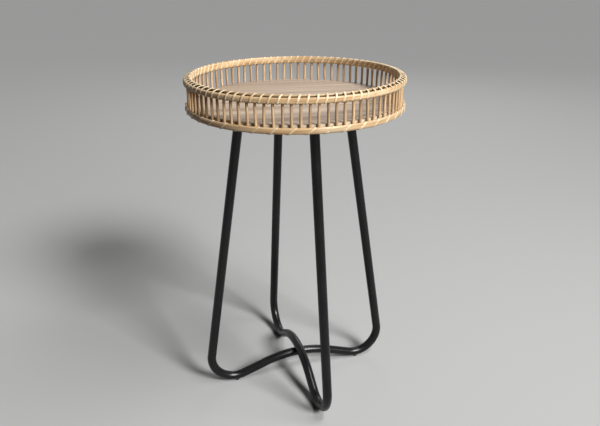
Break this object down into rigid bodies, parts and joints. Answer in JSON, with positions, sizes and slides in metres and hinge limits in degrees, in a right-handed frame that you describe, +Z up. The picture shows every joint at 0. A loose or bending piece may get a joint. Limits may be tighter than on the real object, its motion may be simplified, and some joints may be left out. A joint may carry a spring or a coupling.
{
  "type": "round side table with spindle-gallery tray",
  "caption": "Round side table: a board tray fenced by upright sticks between cane-bound hoops, on two bent black steel tubes that cross near the floor.",
  "frame": {"origin": "on the floor under the centre of the tray", "axes": "+Z up along the axis of the tray, +X along the low frame towards the right foot, +Y along the high frame towards the rear foot"},
  "size_m": [0.4058, 0.4058, 0.65],
  "materials": {
    "bamboo_stick": "satin",
    "bamboo_hoop": "satin",
    "cane_strip": "satin",
    "raw_board": "matte",
    "grained_veneer": "matte",
    "black_powder_coat": "satin",
    "black_glide": "matte",
    "zinc_steel": "satin"
  },
  "bodies": {
    "root": {"spindles": "bamboo_stick", "upper_outer_hoop": "bamboo_hoop", "upper_inner_hoop": "bamboo_hoop", "lower_outer_hoop": "bamboo_hoop", "lower_inner_hoop": "bamboo_hoop", "upper_binding_1": "cane_strip", "upper_binding_2": "cane_strip", "upper_binding_3": "cane_strip", "upper_binding_4": "cane_strip", "lower_binding_1": "cane_strip", "lower_binding_2": "cane_strip", "board_core": "raw_board", "top_veneer": "grained_veneer", "board_pins": "zinc_steel", "plate_screws": "zinc_steel", "low_frame": "black_powder_coat", "high_frame": "black_powder_coat", "crossing_weld": "black_powder_coat", "leg_plate_right": "black_powder_coat", "foot_glide_right": "black_glide", "leg_plate_rear": "black_powder_coat", "foot_glide_rear": "black_glide", "leg_plate_left": "black_powder_coat", "foot_glide_left": "black_glide", "leg_plate_front": "black_powder_coat", "foot_glide_front": "black_glide"}
  },
  "joints": []
}
